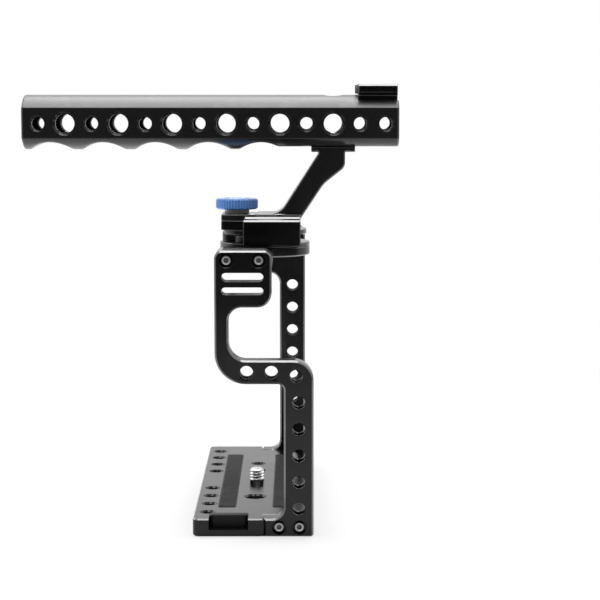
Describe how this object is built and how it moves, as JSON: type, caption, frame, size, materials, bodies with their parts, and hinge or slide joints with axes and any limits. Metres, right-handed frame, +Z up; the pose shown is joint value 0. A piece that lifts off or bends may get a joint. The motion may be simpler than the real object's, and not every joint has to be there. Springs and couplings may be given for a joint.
{
  "type": "handheld cage with top handle",
  "caption": "Open frame cage with a screwed base plate, two side brackets, a crossbar and a drilled top handle on a lockable swivel, with two accessory shoes.",
  "frame": {"origin": "centre of the base plate's underside, in the middle between both side brackets' outer faces", "axes": "+X to the front, where the handle's shoe is; +Y away from the grip side bracket; +Z up, square to the base plate"},
  "size_m": [0.1569, 0.149, 0.1761],
  "materials": {
    "black_anodised": "fine bead-blasted black anodising, satin",
    "blue_anodised": "blue anodising, satin, straight knurl on the rim",
    "screw_steel": "plain steel, machined",
    "spring_steel": "blackened spring steel",
    "washer_nylon": "matte washer, warm grey",
    "rubber": "matte moulded rubber"
  },
  "bodies": {
    "cage": {"base_plate": "black_anodised", "base_grip_strips": "rubber", "end_bumper": "rubber", "end_bumper_screw": "screw_steel", "grip_side_bracket": "black_anodised", "far_side_bracket": "black_anodised", "grip_bracket_top_screws": "screw_steel", "grip_bracket_base_screws": "screw_steel", "far_bracket_top_screws": "screw_steel", "far_bracket_base_screws": "screw_steel", "top_crossbar": "black_anodised", "swivel_plate": "black_anodised", "swivel_plate_screws": "screw_steel"},
    "screw_slider": {"mounting_screw_washer": "washer_nylon"},
    "captive_screw": {"mounting_screw": "screw_steel"},
    "handle": {"swivel_collar": "black_anodised", "swivel_retainer": "screw_steel", "swivel_bolt": "screw_steel", "side_shoe": "black_anodised", "foot_screws": "screw_steel", "handle_arm": "black_anodised", "arm_screw": "screw_steel", "arm_dowel_pins": "screw_steel", "handle_bar": "black_anodised", "top_shoe": "black_anodised", "top_shoe_spring": "spring_steel", "top_shoe_screws": "screw_steel"},
    "knob_follower": {"knob_washer": "washer_nylon"},
    "knob": {"lock_knob": "blue_anodised", "knob_stud": "screw_steel"}
  },
  "joints": [
    {"name": "handle_swivel", "type": "hinge", "parent": "cage", "child": "handle", "pos_m": [0.0036, 0, 0.112], "axis": [0, 0, 1], "continuous": true},
    {"name": "knob_lift", "type": "slide", "parent": "handle", "child": "knob_follower", "axis": [0, 0, 1], "range_m": [0, 0.00382]},
    {"name": "knob_turn", "type": "hinge", "parent": "knob_follower", "child": "knob", "pos_m": [-0.0082, 0, 0.12575], "axis": [0, 0, 1], "range_deg": [0, 1080]},
    {"name": "mounting_screw_slide", "type": "slide", "parent": "cage", "child": "screw_slider", "axis": [0, 1, 0], "range_m": [-0.014, 0.014]},
    {"name": "mounting_screw_turn", "type": "hinge", "parent": "screw_slider", "child": "captive_screw", "pos_m": [0, 0, 0.009], "axis": [0, 0, 1], "continuous": true}
  ],
  "couplings": [
    {"joint": "knob_lift", "follows": "knob_turn", "m_per_rad": 0.00020213}
  ]
}
